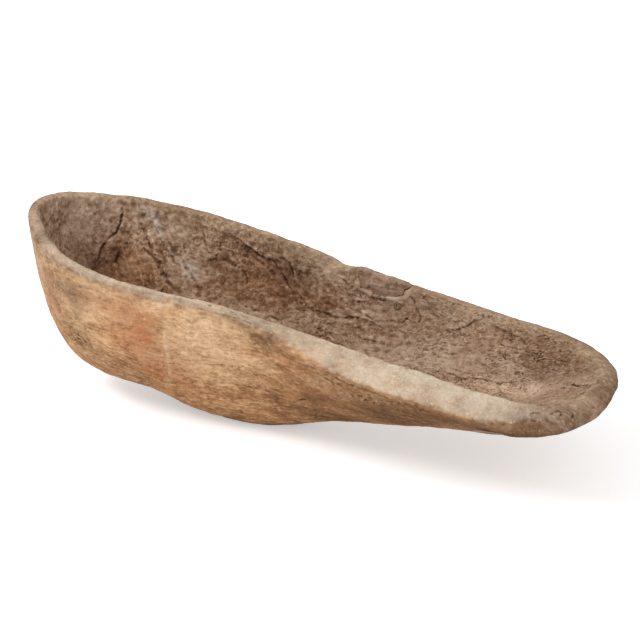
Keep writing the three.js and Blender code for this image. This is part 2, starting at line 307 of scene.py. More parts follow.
turns, skin, crestRow = layOutBowl()
skin[..., 1] -= (skin[..., 1].max() + skin[..., 1].min()) / 2
skinNormals = normalsOf(skin)
steps = np.linalg.norm(np.diff(skin, axis=0), axis=-1)
fromCrest = np.vstack([np.zeros(skin.shape[1]), np.cumsum(steps, 0)])
fromCrest = fromCrest[crestRow] - fromCrest      # mm over the skin: outside +, in the hollow -
aroundDegrees = np.degrees(np.where(turns > math.pi, turns - 2 * math.pi, turns))
print("form laid out", skin.shape)


def onSkin(around, reach):
    # place and outward direction at degrees round the rim and mm from its crest
    turn = np.radians(np.asarray(around, float)) % (2 * math.pi)
    reach = np.asarray(reach, float)
    count = len(turns)
    column = np.interp(turn, np.r_[turns, 2 * math.pi], np.arange(count + 1))
    first = np.floor(column).astype(int)
    between = column - first
    found = []
    for c in (first % count, (first + 1) % count):
        place, facing = [], []
        for ci, r in zip(c.ravel(), np.broadcast_to(reach, c.shape).ravel()):
            row = np.interp(-r, -fromCrest[:, ci], np.arange(len(fromCrest)))
            low = min(int(row), len(fromCrest) - 2)
            t = row - low
            place.append(skin[low, ci] * (1 - t) + skin[low + 1, ci] * t)
            facing.append(skinNormals[low, ci] * (1 - t) + skinNormals[low + 1, ci] * t)
        found.append((np.array(place), np.array(facing)))
    w = between.ravel()[:, None]
    place = found[0][0] * (1 - w) + found[1][0] * w
    facing = found[0][1] * (1 - w) + found[1][1] * w
    return place, facing / np.linalg.norm(facing, axis=1, keepdims=True)


def aroundAt(x, side):
    # degrees round the rim at one distance from the middle; side -1 is the far one
    b = bowlForm
    share = (x + b["length"] / 2 - b["rimOut"]) / (b["length"] - b["rimOut"] - b["lipOut"])
    return side * np.degrees(np.arccos(np.clip(1 - 2 * share, -1, 1)))


# marks cut into the wood: cracks, gouge grooves, ledges and pits. Each is its half width, depth,
# darkness, ledge, wholeness and the points it runs through. A ledge is how far the wood on the
# rim's side stands above the other side, and wholeness keeps a crack from breaking up. A point is
# (degrees round the rim, far side negative; mm from the crest, hollow negative)

hollowMarks = [
    (3.4, 4, .9, 2, .9, (-35, -5), (-34, -29), (-32, -54), (-28, -73), (-25, -92), (-22, -117)),
    (3, 3, .8, 0, .8, (-39, -60), (-40.5, -79), (-43, -92), (-46, -115), (-48, -134)),
    (4, 3, .8, 0, .8, (-31, -86), (-31, -96), (-30, -106), (-32, -118)),
    (6, 2.5, .3, 0, 0, (-22, -60), (-23, -85), (-18, -112)),
    (4, 3, .45, 0, 0, (-39, -30), (-41, -47), (-42, -69), (-44, -94), (-47, -120), (-49, -140)),
    (3.5, 2.2, .3, 0, 0, (-42, -22), (-45, -51), (-48, -84), (-52, -106)),
    (4, 3, .6, 0, 0, (-43, -89), (-45, -114), (-48, -134)),
    (4.5, 3, .4, 0, 0, (-47, -56), (-50, -77), (-53, -99), (-56, -124)),
    (1.8, 2, .75, 0, .8, (-57, -14), (-58, -42), (-58, -75)),
    (1.7, 1.2, .3, 0, 0, (-52, -18), (-53, -40), (-53, -58)),
    (1.8, 1.4, .35, 0, 0, (-62, -30), (-62, -52), (-60, -66)),
    (3, 3.5, .75, 2.2, 0, (-64, -18), (-67, -24), (-69, -31), (-72, -37), (-75, -39), (-77, -50), (-79, -66),
     (-81, -78)),
    (2, 2.5, .6, 1.2, 0, (-77, -26), (-79, -31), (-80, -43), (-81, -61)),
    (1.8, 2, .5, 0, 0, (-73, -28), (-75, -33), (-77, -42), (-78, -56)),
    (2.4, 2, .5, 0, 0, (-66, -30), (-69, -38), (-72, -46), (-75, -58), (-76, -72)),
    (3, 2.5, .6, 0, 0, (-62, -68), (-65, -66), (-68, -72), (-69, -85), (-67, -98)),
    (3, 2.5, .5, 0, 0, (-57, -76), (-60, -68), (-64, -62), (-67, -60)),
    (2.4, 2, .5, 0, 0, (-65, -120), (-70, -124), (-76, -124), (-81, -121)),
    (1.6, 1.2, .3, 0, 0, (-83, -20), (-84, -34), (-84, -52)),
    (1.6, 2.2, .8, 0, 0, (-90, -20), (-92, -24), (-93, -35)),
    (1.7, 2.4, .75, 1.2, 0, (-93, -35), (-95, -35), (-98, -36), (-101, -35), (-103, -32)),
    (1.5, 2, .7, 0, 0, (-93, -27), (-95, -38), (-97, -47), (-100, -50)),
    (1.5, 2, .6, 0, 0, (-94, -60), (-97, -66), (-100, -68)),
    (2, 2.6, .7, 1.2, 0, (-85, -84), (-87, -87), (-91, -80), (-94, -76), (-97, -73), (-101, -76), (-104, -83)),
    (1.6, 2.5, .9, 0, 0, (-101, -64), (-104, -58), (-106, -51), (-108, -53)),
    (1.8, 2.4, .75, 0, 0, (-105, -8), (-106, -16), (-107, -23), (-107, -38), (-106, -51), (-105, -59), (-102, -57)),
    (1.8, 1.8, .5, 0, 0, (-107, -4), (-109, -12), (-111, -20)),
    (2, 2.2, .6, 0, 0, (-106, -24), (-108, -33), (-109, -44), (-108, -56)),
    (1.5, 2.4, .9, 0, 0, (-104, -70), (-105, -73), (-107, -72)),
    (1, 2.2, .8, 2, .6, (-116, -50), (-118, -42), (-120, -32), (-121, -23), (-123, -17)),
    (1.2, 2, .7, 2.2, .5, (-124, -17), (-127, -22), (-130, -24), (-134, -28), (-137, -34)),
    (2.4, 1.6, .6, 0, 0, (-128, -22), (-130, -26), (-133, -29)),
    (1, 1.8, .85, 0, .7, (-131, -47), (-131, -56), (-134, -65), (-137, -67), (-140, -67), (-144, -71), (-147, -76)),
    (1.6, 1.6, .5, 0, 0, (-135, -53), (-138, -50), (-145, -43), (-151, -40), (-162, -27)),
    (2.6, 1.8, .5, 0, 0, (-143, -45), (-147, -42), (-150, -35)),
    (1.1, 2, .85, 1.2, .6, (-115, -110), (-119, -108), (-122, -109), (-125, -110), (-129, -109), (-133, -108),
     (-138, -109), (-141, -104), (-145, -97), (-149, -90), (-148, -79)),
    (2.2, 2.6, 1.2, 1.4, .9, (-168, -70), (-171, -67), (-173, -60), (-175, -52), (-174, -46), (-175, -40),
     (-178, -32), (-179, -22), (-179, -12), (-178, -4), (-179, 3)),
    (4, 3, 1.3, 0, 1, (-175, -44), (-175, -41), (-176, -38)),
    (1.6, 2, .55, 0, 0, (-94, -95), (-97, -101), (-101, -99), (-106, -103)),
    (1.5, 1.8, .6, 0, 0, (-116, -81), (-119, -79), (-122, -74)),
    (1.4, 1.4, .5, 0, 0, (-118, -52), (-120, -48), (-123, -45)),
    (1.5, 1.6, .5, 0, 0, (-108, -84), (-112, -84), (-116, -88), (-120, -89)),
    (1.4, 1.4, .45, 0, 0, (-112, -66), (-117, -66), (-121, -62)),
    (1.4, 1.4, .45, 0, 0, (-124, -84), (-129, -86), (-134, -90)),
    (1.4, 1.4, .4, 0, 0, (-110, -30), (-113, -32), (-116, -28)),
]
outsideMarks = [
    (4, -1, 0, 0, 0, (67, 59), (66, 98), (65, 141), (63, 190)),
    (2, 1.6, .35, 0, 0, (79, 13), (83, 14), (87, 17), (89, 27), (92, 31)),
    (1.7, 4, 1, 0, 0, (91, 154), (93, 146), (95, 134)),
    (1.5, 1.4, .4, 0, 0, (71, 120), (75, 119), (80, 108), (86, 99), (91, 101)),
    (1.4, 1.2, .35, 0, 0, (82, 118), (86, 112), (90, 118), (88, 126)),
    (1.4, 1.2, .4, 0, 0, (72, 160), (78, 150), (84, 146), (89, 140)),
    (1.6, 1.2, .35, 0, 0, (76, 184), (83, 176), (90, 172)),
    (6, 2.5, .2, 0, 0, (103, 50), (108, 56), (113, 58), (120, 62), (128, 58)),
    (4, 2, .3, 0, 0, (104, 62), (107, 74), (110, 86), (118, 94), (128, 96)),
    (1.6, 2, .6, 0, 0, (98, 52), (102, 66), (104, 80)),
    (6, 3, .4, 0, 0, (54, 225), (51, 234), (58, 217)),
    (2, 1, .35, 0, 0, (32, 84), (35, 98), (37, 112)),
]
rimMarks = [
    (1.2, 1.4, .9, 0, .8, (149, 20), (148, 15), (150, 10), (152, 10)),
    (1.6, 2, .9, 0, .9, (153, 14), (155, 10), (157, 8), (158, 12), (158, 16)),
    (3, 2, 1.1, 0, 1, (157.6, 13), (158, 17)),
    (2.4, 2.6, 1, 0, 1, (161, 19), (162.5, 17)),
    (1.4, 1.6, .85, 0, .9, (148, 21), (150, 23)),
    (1.6, 1.2, .4, 0, 0, (165, 8), (167, 12)),
    (1.2, 1.4, .8, 0, .9, (76, 5), (77, 8), (79, 8)),
    (1.2, 1.4, .8, 0, .9, (81, 4), (83, 8), (85, 7)),
    (1.3, .8, .25, 0, 0, (112, 8), (117, 16), (120, 14)),
    (1.3, .8, .3, 0, 0, (136, 5), (138, 13)),
    (1.3, .7, .25, 0, 0, (144, 8), (147, 13)),
    (1.4, .9, .25, 0, 0, (103, 14), (106, 21)),
]
ledgeReach = 20      # mm over which a ledge fades away


def throughPoints(points):
    # a smooth run through listed points, lifted onto the skin, with its reach from the crest
    points = np.array(points, float)
    points[:, 0] = np.degrees(np.unwrap(np.radians(points[:, 0])))
    k = np.arange(len(points))
    fine = np.linspace(0, len(points) - 1, 14 * len(points))
    around, reach = [along(k, points[:, i], fine) for i in (0, 1)]
    return onSkin(around, reach)[0], reach


def nearSkin(path, margin, inHollow):
    # which points of the skin lie near a path, on its own side of the wall
    low, high = path.min(0) - margin, path.max(0) + margin
    chosen = ((skin > low) & (skin < high)).all(-1)
    chosen &= (fromCrest < 4) if inHollow else (fromCrest > -4)
    return np.nonzero(chosen)


def nearestOn(path, spots):
    # for each spot the square of its distance from a path and the number of the nearest point
    gaps = np.full(len(spots), np.inf)
    nearest = np.zeros(len(spots), int)
    for i, point in enumerate(path):
        gap = ((spots - point) ** 2).sum(1)
        closer = gap < gaps
        gaps[closer] = gap[closer]
        nearest[closer] = i
    return gaps, nearest


def cutMarks(marks, inHollow):
    for halfWidth, depth, dark, ledge, whole, *points in marks:
        path, reaches = throughPoints(points)
        near = nearSkin(path, halfWidth * 4 + (ledgeReach * 2 if ledge else 6), inHollow)
        gaps, nearest = nearestOn(path, wobbled[near])
        at = nearest / (len(path) - 1)
        fromEnd = np.minimum(at, 1 - at)
        taper = np.clip(fromEnd * 4 + .06, 0, 1)
        unbroken = np.maximum(smoothStep(-.75, .1, noise(skin[near], 10, 19)), whole)
        width = (.5 + .55 * halfWidth) * (.35 + .55 * taper) * (.6 + .5 * unbroken)
        width = width * (1 + .5 * noise(skin[near], 4.5, 20))
        cut = np.exp(-gaps / width ** 2) * taper * (.2 + .8 * unbroken)
        relief[near] -= depth * cut
        # a mark darkens with its dirt and the painted shade in its depth
        crackDirtAndShade[near] = np.maximum(crackDirtAndShade[near], .75 * dark * cut)
        if ledge:
            apart = np.sqrt(gaps)
            side = fromCrest[near] - reaches[nearest]
            stand = ledge * np.exp(-(apart / ledgeReach) ** 2) * np.clip(side / (apart + 1), -1, 1)
            relief[near] += stand * smoothStep(0, .2, fromEnd + .02)


# colours laid over the wood: degrees round the rim, mm from the crest, size along the bowl and
# down the wall in mm, and strength

stains = {
    "rust": [
        (61, 84, 30, 46, 1.3), (59, 100, 54, 66, .85), (57, 52, 50, 26, .75), (62, 150, 44, 50, .85),
        (30, 112, 20, 40, .5), (-30, -104, 60, 44, .4), (-72, -70, 60, 44, .25), (32, 106, 14, 34, .5),
        (38, 230, 50, 24, .35), (94, 60, 26, 34, .45), (96, 38, 22, 10, .4), (52, 34, 10, 14, .3),
    ],
    "cream": [
        (50, 60, 34, 40, .5), (74, 58, 50, 40, 1), (44, 92, 22, 30, .8), (40, 126, 16, 30, .5),
        (58, 26, 60, 14, .5), (80, 40, 30, 24, .5), (43, 176, 30, 40, .45), (76, 150, 50, 20, .35),
        (100, 56, 12, 22, .4),
    ],
    "umber": [
        (34, 160, 24, 26, .55), (89, 30, 30, 14, .7), (38, 60, 26, 12, .4), (30, 90, 16, 26, .45),
        (42, 64, 20, 22, .6), (41, 150, 24, 30, .3), (96, 128, 26, 18, .8), (108, 54, 36, 16, .75),
        (120, 56, 40, 16, .75), (133, 54, 40, 16, .6), (107, 90, 40, 20, .65), (114, 76, 50, 26, .8),
        (123, 76, 60, 22, .75), (134, 66, 50, 26, .6), (55, 212, 30, 22, .5), (-26, -108, 50, 46, 1),
        (-40, -120, 54, 40, .6), (-30, -80, 12, 26, .5), (-62, -68, 26, 22, .55), (-76, -58, 36, 36, .65),
        (-66, -84, 40, 30, .45), (-90, -50, 26, 26, .35), (-98, -42, 30, 10, .4), (-106, -50, 18, 26, .4),
        (-146, -38, 36, 18, .5), (-131, -24, 26, 10, .5), (-111, -20, 12, 22, .5), (-174, -50, 26, 16, .4),
    ],
    "amber": [
        (-38, -108, 60, 40, .5), (-72, -64, 50, 30, .3), (109, 86, 50, 30, .7), (132, 56, 50, 20, .6),
        (107, 66, 50, 24, 1), (121, 60, 60, 24, 1), (136, 58, 60, 24, .7), (96, 126, 70, 34, .55),
        (88, 120, 60, 24, .35),
    ],
    "ash": [
        (20, 60, 60, 60, .7), (160, 40, 60, 40, .6), (-20, -40, 60, 46, .7), (-44, -26, 26, 18, .6),
        (-52, -40, 30, 34, .6), (-54, -92, 18, 22, .6), (-50, -70, 18, 30, .35), (-86, -30, 30, 26, .3),
        (-116, -26, 46, 26, .55), (-102, -60, 20, 14, .3), (38, 54, 24, 14, .6), (34, 20, 60, 16, .6),
    ],
    "rose": [
        (-116, -90, 90, 50, .6), (-130, -80, 70, 46, .8), (-108, -92, 40, 26, .2), (-150, -100, 70, 40, .5),
    ],
    "chalk": [
        (-44, -24, 15, 10, .5), (-54, -95, 9, 15, .55), (-98, -57, 9, 5, .5), (-103, -27, 8, 4, .5),
        (67, 25, 4, 4, .9), (94, 24, 4, 3, .8), (112, 22, 2.4, 2.4, .9), (119, 36, 2.4, 2.4, .8),
        (-105, -103, 2.6, 2.6, .9), (-110, -87, 2.2, 2.2, .7), (138, 11, 5, 5, .5),
    ],
}

# the same colours along paths over the skin: half width, strength and points
streaks = [
    ("ash", 9, .9, (-41, -12), (-44, -30), (-46, -60), (-50, -82), (-54, -102)),
    ("chalk", 6, .55, (-42, -14), (-44, -28), (-45, -44)),
    ("chalk", 4, .5, (-51, -84), (-53, -93), (-55, -104)),
    ("ash", 7, .7, (-49, -18), (-51, -44), (-54, -70)),
    ("umber", 7, .6, (-40, -70), (-43, -96), (-47, -122), (-50, -140)),
    ("umber", 4, .5, (-48, -40), (-50, -62), (-51, -76)),
    ("umber", 12, .9, (-22, -112), (-21, -124)),
    ("umber", 6, .9, (-30, -90), (-30, -104), (-33, -116)),
    ("cream", 6, .8, (67, 56), (66, 104), (65, 140), (63, 186)),
    ("chalk", 4, .2, (67, 80), (66, 104), (66, 120)),
    ("chalk", 2.4, .8, (-99, -30), (-101, -29), (-103, -27)),
    ("umber", 7, .5, (-66, -22), (-71, -36), (-76, -46), (-79, -64), (-81, -80)),
]

# spots where the wood is painted lighter (+) or darker (-), as above, with the amount last. Some are
# the wood's own tone; others are painted shade, as under the near rim's bevel and along the low edge
# of the underside, and others painted light, as on the wall of the deep end and on the belly
toneAndShadeSpots = [
    (-16, -46, 60, 60, .46), (76, 22, 70, 12, -.06), (66, 104, 60, 60, .05), (-98, -44, 46, 14, -.1),
    (-48, -36, 60, 40, .1), (36, 92, 30, 50, -.24), (43, 66, 26, 30, -.3), (41, 150, 30, 40, -.1),
    (106, 24, 40, 20, -.15), (124, 24, 60, 24, -.07), (-109, -22, 30, 24, -.1), (-168, -6, 60, 30, -.16),
    (78, 216, 110, 36, .2), (78, 150, 80, 50, .12), (76, 56, 60, 40, .1), (100, 60, 30, 24, -.12),
    (0, 30, 90, 50, -.16), (46, 50, 50, 30, -.08), (160, 14, 60, 22, -.2), (180, 10, 60, 36, -.2),
    (-130, -60, 120, 70, .05), (-152, -90, 60, 40, .05), (-64, -80, 40, 40, -.16), (-27, -106, 36, 30, -.14),
    (-93, -14, 24, 24, -.12), (-116, -20, 60, 24, .08), (-79, -56, 38, 38, -.42), (-90, -70, 50, 40, -.08),
    (-145, -42, 40, 26, -.1), (30, 60, 40, 70, -.14), (96, 100, 50, 60, -.14), (112, 80, 60, 34, -.3),
    (126, 70, 60, 30, -.34), (138, 76, 70, 40, -.3), (140, 54, 60, 20, -.12), (93, 32, 40, 16, -.18),
    (106, 128, 60, 26, -.14), (118, 108, 60, 22, -.14), (12, 6, 60, 18, -.1), (60, 140, 40, 40, -.06),
    (70, 30, 50, 36, .13), (46, 134, 24, 20, .14), (70, 180, 30, 24, .12), (-100, -98, 50, 20, -.14),
    (-105, -66, 16, 40, -.1), (-68, -54, 34, 24, -.16), (-144, -74, 60, 30, -.09), (-60, -98, 28, 24, .14),
    (-90, -66, 22, 28, .12), (-72, 0, 30, 12, .1), (-8, -10, 60, 30, .1), (-124, -44, 30, 20, .1),
    (-146, -116, 90, 24, .14), (84, 14, 26, 22, -.22), (96, 196, 30, 30, -.14), (112, 138, 40, 26, -.14),
    (146, 78, 50, 36, -.14), (28, 13, 50, 14, -.16), (50, 7, 24, 14, -.12), (-136, -115, 80, 22, .1),
    (172, -54, 30, 30, .08), (50, 124, 30, 50, .12), (-24, -88, 24, 16, .08), (-75, 4, 20, 20, .12),
    (-94, -8, 10, 10, .14), (73, 186, 24, 24, .1), (-109, -44, 12, 20, -.08), (-150, -60, 30, 30, -.1),
    (-107, -94, 20, 18, -.06), (89, 30, 34, 16, -.4), (98, 198, 70, 40, -.4), (116, 128, 80, 36, -.34),
    (146, 86, 60, 34, -.34), (27, 14, 60, 20, -.34), (-80, -44, 30, 16, -.14), (52, 110, 26, 40, .1),
    (68, 32, 34, 30, .12), (-140, -124, 80, 16, .24), (-168, -104, 50, 30, .12), (144, 80, 60, 30, -.2),
    (46, 6, 56, 14, -.28), (-72, -58, 24, 18, -.4), (-151, -82, 30, 20, -.24), (88, 24, 24, 16, -.24),
    (101, 40, 20, 14, -.16), (-40, -106, 26, 26, .12), (112, 66, 50, 20, .1), (-4, -14, 50, 24, .14),
    (107, 95, 24, 16, .12),
]
smallSpot = 8      # mm; spots up to this size keep their own shape, larger ones wander


def spotOn(spot, points):
    # the points near one listed spot, and how strongly it touches them
    around, reach, lengthwise, down, strength = spot
    centre = onSkin([around], [reach])[0][0]
    near = nearSkin(centre[None], max(lengthwise, down) * 1.7 + 10, reach < 0)
    offset = points[near] - centre
    away = (offset[:, 0] / lengthwise) ** 2 + (offset[:, 1] ** 2 + offset[:, 2] ** 2) / down ** 2
    return near, strength * np.exp(-away * 1.2)


def layStains():
    speckled = skin + 2.2 * fineWarp + .8 * jag
    tones = {name: np.zeros(skin.shape[:2]) for name in [*stains, "toneAndPaintedShade"]}
    for name, spots in stains.items():
        for spot in spots:
            near, touch = spotOn(spot, blotched if max(spot[2:4]) > smallSpot else speckled)
            tones[name][near] = np.maximum(tones[name][near], touch)
    for name, halfWidth, strength, *points in streaks:
        path, reaches = throughPoints(points)
        near = nearSkin(path, halfWidth * 2.5, reaches[0] < 0)
        touch = strength * np.exp(-nearestOn(path, speckled[near])[0] / halfWidth ** 2)
        tones[name][near] = np.maximum(tones[name][near], touch)
    # spots of tone, painted shade and painted light add up
    for spot in toneAndShadeSpots:
        near, touch = spotOn(spot, blotched)
        tones["toneAndPaintedShade"][near] += touch
    return tones


# how far down the outside the grey-brown of the hollow reaches, in mm from the crest, at
# degrees round the rim with the far side negative
greyRim = [(-180, 90), (-160, 60), (-130, 24), (-60, 20), (-20, 20), (0, 22), (25, 24), (50, 12), (90, 14),
           (120, 14), (132, 20), (142, 60), (160, 80), (180, 90)]

# the pale dusty bevel of the near rim: its lower and inner edge in mm from the crest and how
# dusty it is, at degrees round the rim
dustyRim = {
    "lower": [(0, 10), (40, 15), (75, 16), (90, 18), (95, 25), (99, 35), (103, 41), (108, 43), (117, 44),
              (126, 42), (133, 40), (138, 34), (143, 28), (151, 19), (180, 16)],
    "inner": [(0, -4), (100, -3), (130, -4), (180, -8)],
    "amount": [(0, .1), (30, .15), (46, .5), (60, .6), (76, .45), (88, .4), (98, .6), (106, .85), (136, .85),
               (144, .6), (152, .3), (160, .12), (180, 0)],
}

# the surface, in mm: a wave is its size, seed and height, and three numbers for a size are
# along, across and up
hewn = {
    "facets": [((60, 40, 40), 8, 1.2), (20, 9, .7), (7, 56, .3)],
    "hollowFacets": [((44, 34, 34), 10, 1.4)],
    "hollowLumps": 1.5,
    "grain": [((60, 5, 5), 14, 1), ((30, 2.6, 2.6), 15, .6)],
    "grainHeights": (.25, .4),                    # outside, hollow
    "layerHeights": (.6, 1.8),                    # of worn layers, outside and hollow
    "hollowCracks": [((46, 8, 8), 21, 1.3), ((30, 5, 5), 24, 1.1), ((20, 3.2, 3.2), 27, .8)],
    "outsideCracks": [((50, 7, 7), 31, .8), ((24, 3.6, 3.6), 34, .5)],
    "knottyPatches": [(104, 60, (26, 18, 16)), (109, 80, (36, 18, 18)), (119, 62, (40, 14, 14)),
                      (38, 150, (30, 22, 26))],   # degrees, mm from the crest, size
    "knottyHeight": 2,
    "fibres": [((52, 7, 14), 44, 1), ((30, 3.4, 7), 45, .7)],
    "fibreHeight": .9,
    "fibresAt": (-43, -74, (76, 60, 76)),
    "rimWaver": [(34, 51, .7), (11, 52, .3)],
    "chipDepth": 1.3,
    "bevelTears": 1.2,
    "knobs": [(-28.5, -76, (7, 8, 9), 5), (-27.5, -96, (6, 6, 11), 4.5), (-31, -102, (6, 7, 12), -4),
              (-22, -117, (12, 12, 14), -5)],     # of cross grain, and the cavities beside them
    "edgeWander": [(22, 71, 3), (7, 72, 2.2)],
}

knotPlace = {"along": 66, "halfLength": 46, "centreReach": 2, "halfReach": 32, "proud": 1.4, "seat": 6,
             "thickness": 5.5, "rings": 44, "spokes": 180}
pinKnotPlace = {"around": -103.6, "reach": -37, "radius": 5, "proud": .6, "seat": 4,
                "thickness": 3.6, "rings": 14, "spokes": 48}

# what the carving and the colours share
inward = smoothStep(2, -8, fromCrest)      # 1 in the hollow, 0 outside
outward = 1 - inward
onRim = np.exp(-(fromCrest / 26) ** 2)
nearSide = (aroundDegrees > 0)[None]
scoopward = smoothStep(60, 260, skin[..., 0])
warp, fineWarp, jag = [np.stack([noise(skin, size, seed + s) for s in range(3)], -1)
                       for size, seed in ((34, 1), (9, 4), (3.6, 7))]
wobbled = skin + 2.2 * warp + 1.6 * fineWarp + .8 * jag
blotched = skin + 11 * warp + 6 * fineWarp + 2 * jag
grained = skin + 7 * warp + 1.5 * fineWarp
relief = np.zeros(skin.shape[:2])          # mm outwards from the plain form
# darkness of cracks, crevices, seams and ledge faces: their dirt and the painted shade in their depth
crackDirtAndShade = np.zeros(skin.shape[:2])        # of cracks and crevices


def raiseSkin(height):
    np.add(relief, height, out=relief)


def darkenSkin(amount):
    np.maximum(crackDirtAndShade, amount, out=crackDirtAndShade)


def waves(points, parts):
    return sum(height * noise(points, size, seed) for size, seed, height in parts)


def lump(points, around, reach, size):
    # 1 at a place on the skin, fading away over a size in mm
    centre = onSkin([around], [reach])[0][0]
    return np.exp(-(((points - centre) / size) ** 2).sum(-1))


def onChart(pairs):
    # values given at degrees round the rim, for every column of the skin
    return np.interp(aroundDegrees, *zip(*pairs))[None]


def wearLayers(points, size, seed, height, dark, where):
    # layers of wood worn away along the grain: slow rises, each ending in a sharp edge, painted darker there as
    # shade
    level = noise(points, size, seed) * 3
    part = level - np.floor(level)
    raiseSkin(height * (part - smoothStep(.84, 1, part)) * where)
    darkenSkin(dark * smoothStep(.72, .9, part) * smoothStep(1, .96, part) * where)


def craze(points, cracks, sharpness, dark, where):
    # short cracks along the grain; where says how many there are
    for size, seed, depth in cracks:
        valley = 1 - np.abs(noise(points, size, seed))
        crack = smoothStep(.94, sharpness, valley) * where(seed + 1)
        raiseSkin(-depth * crack)
        darkenSkin(dark * crack)


def hewSurface():
    h = hewn
    raiseSkin(outward * waves(skin, h["facets"]))
    raiseSkin(inward * (waves(skin, h["hollowFacets"]) + h["hollowLumps"] * layeredNoise(skin, 17, 2, 11)))
    crumbled = layeredNoise(skin + 2 * fineWarp, (9, 6, 6), 2, 12)
    raiseSkin(inward * crumbled * (.8 + .6 * noise(skin, 40, 13)) * (1 - .7 * scoopward))
    grainHeight = h["grainHeights"][0] * outward + h["grainHeights"][1] * inward
    raiseSkin(waves(grained, h["grain"]) * grainHeight * (1 - onRim * (.7 + .3 * scoopward)))
    inPlaces = smoothStep(0, .5, noise(skin, 60, 16) + .25) * inward
    wearLayers(grained + 3 * jag, (60, 17, 17), 17, h["layerHeights"][1], .36, inPlaces)
    wearLayers(grained + 2 * jag, (70, 15, 15), 18, h["layerHeights"][0], .16, smoothStep(50, 110, fromCrest))


def crackSurface():
    # the hollow has more cracks from the middle to the scoop end, the outside more of them low down
    craze(skin + 7 * warp + 2.6 * fineWarp + 1.2 * jag, hewn["hollowCracks"], .995, .62,
          lambda seed: smoothStep(0, .5, noise(skin, 36, seed) + .4 * scoopward - .02)
          * inward * (.5 + .5 * scoopward))
    craze(skin + 6 * warp + 2.4 * fineWarp + .8 * jag, hewn["outsideCracks"], .998, .4,
          lambda seed: smoothStep(.05, .6, noise(skin, 46, seed)) * smoothStep(30, 90, fromCrest) * outward)
    # rough, knotty patches below the bevel
    for patch in hewn["knottyPatches"]:
        knotty = lump(blotched, *patch) * outward
        raiseSkin(knotty * hewn["knottyHeight"] * layeredNoise(skin, 7, 2, 41))
        darkenSkin(.6 * knotty * smoothStep(0, .5, -noise(skin, 6, 43)))


def slantFibres():
    # fibres that slant down the far wall of the deep end
    slanted = np.stack([skin @ (.42, 0, -.9), skin @ (.9, 0, .42), skin[..., 1]], -1) + 3 * warp + fineWarp
    fibres = waves(slanted, hewn["fibres"]) * lump(blotched, *hewn["fibresAt"]) * inward
    raiseSkin(hewn["fibreHeight"] * fibres)
    return fibres


def wearRim(bevelEdge):
    # the rim wavers, and its corners are chipped
    raiseSkin(onRim * waves(skin, hewn["rimWaver"]))
    chips = smoothStep(.3, .7, noise(skin, 9, 53)) * np.exp(-(fromCrest / 5) ** 2)
    raiseSkin(-hewn["chipDepth"] * chips)
    tears = smoothStep(.1, .6, noise(skin, 13, 54)) * np.exp(-((fromCrest - bevelEdge) / 6) ** 2)
    raiseSkin(-hewn["bevelTears"] * tears * nearSide)


def knotOutline(angle):
    # how far the uneven outline of the rim knot departs from its oval
    waver = .05 * np.sin(3 * angle + 1) + .04 * np.sin(5 * angle) + .03 * np.sin(9 * angle + 2)
    return 1 + waver + .02 * np.sin(17 * angle)


def knotDistance():
    # 1 on the outline of the rim knot, less within
    k = knotPlace
    sideways = (skin[..., 0] - k["along"]) / k["halfLength"]
    down = (fromCrest - k["centreReach"]) / k["halfReach"]
    far = (turns > math.pi)[None]
    return np.where(far, np.hypot(sideways, down) / knotOutline(np.arctan2(down, sideways)), 9)


def seatKnots():
    k, p = knotPlace, pinKnotPlace
    toKnot = knotDistance() + .03 * noise(skin, 9, 61)
    raiseSkin(-k["seat"] * smoothStep(1.04, .9, toKnot))
    lowerEdge = smoothStep(-10, -24, fromCrest)
    darkenSkin((.1 + .3 * lowerEdge) * np.exp(-((toKnot - 1) / .03) ** 2))
    pin = onSkin([p["around"]], [p["reach"]])[0][0]
    toPin = np.linalg.norm(skin - pin, axis=-1) / p["radius"]
    raiseSkin(-p["seat"] * smoothStep(1.15, .8, toPin) * inward)
    darkenSkin(.6 * np.exp(-((toPin - 1.1) / .2) ** 2) * inward)


def smoothed(field, rounds):
    soft = field.copy()
    for _ in range(rounds):
        soft[1:-1] = (soft[:-2] + 2 * soft[1:-1] + soft[2:]) / 4
        soft = (np.roll(soft, 1, 1) + 2 * soft + np.roll(soft, -1, 1)) / 4
    return soft


def carveBowl():
    bevelEdge = onChart(dustyRim["lower"])
    hewSurface()
    crackSurface()
    fibres = slantFibres()
    wearRim(bevelEdge)
    cutMarks(hollowMarks, True)
    cutMarks(outsideMarks + rimMarks, False)
    for around, reach, size, height in hewn["knobs"]:
        raiseSkin(height * lump(wobbled, around, reach, size) * inward)
    # the relief less its smoothed self: ridges are painted lighter as wear, recesses darker as painted shade
    wearAndRecessShade = relief - smoothed(relief, 14)
    seatKnots()
    grid = skin + skinNormals * relief[..., None]
    grid[..., 2] = np.maximum(grid[..., 2], 0)

    tones = layStains()
    # the slanting fibres of the deep end's far wall go in too, as streaks of tone and painted shade along their
    # relief
    tones["toneAndPaintedShade"] += .26 * fibres
    wander = waves(skin, hewn["edgeWander"])
    inner, amount = onChart(dustyRim["inner"]), onChart(dustyRim["amount"])
    dust = smoothStep(bevelEdge + 4, bevelEdge - 4, fromCrest + wander) * nearSide
    dust = dust * smoothStep(inner - 3, inner + 3, fromCrest + .5 * wander) * amount
    greyEdge = onChart(greyRim)
    grey = smoothStep(greyEdge * 1.3 + 8, greyEdge * .7 - 4, fromCrest + 2.5 * wander)
    return grid, {
        "hollow": inward,
        "grey": np.maximum(grey, inward),
        "crackedAndShaded": np.clip(crackDirtAndShade, 0, 1),
        "wearAndRecessShade": np.clip(wearAndRecessShade, -1.5, 1.5),
        "dust": dust,
        # the outside painted lighter towards the rim, fading out by about 210 mm down
        "lighterTowardsRim": smoothStep(210, 20, fromCrest + 26 * warp[..., 0]) * outward,
        "rim": np.exp(-(fromCrest / 20) ** 2),
        **tones,
    }


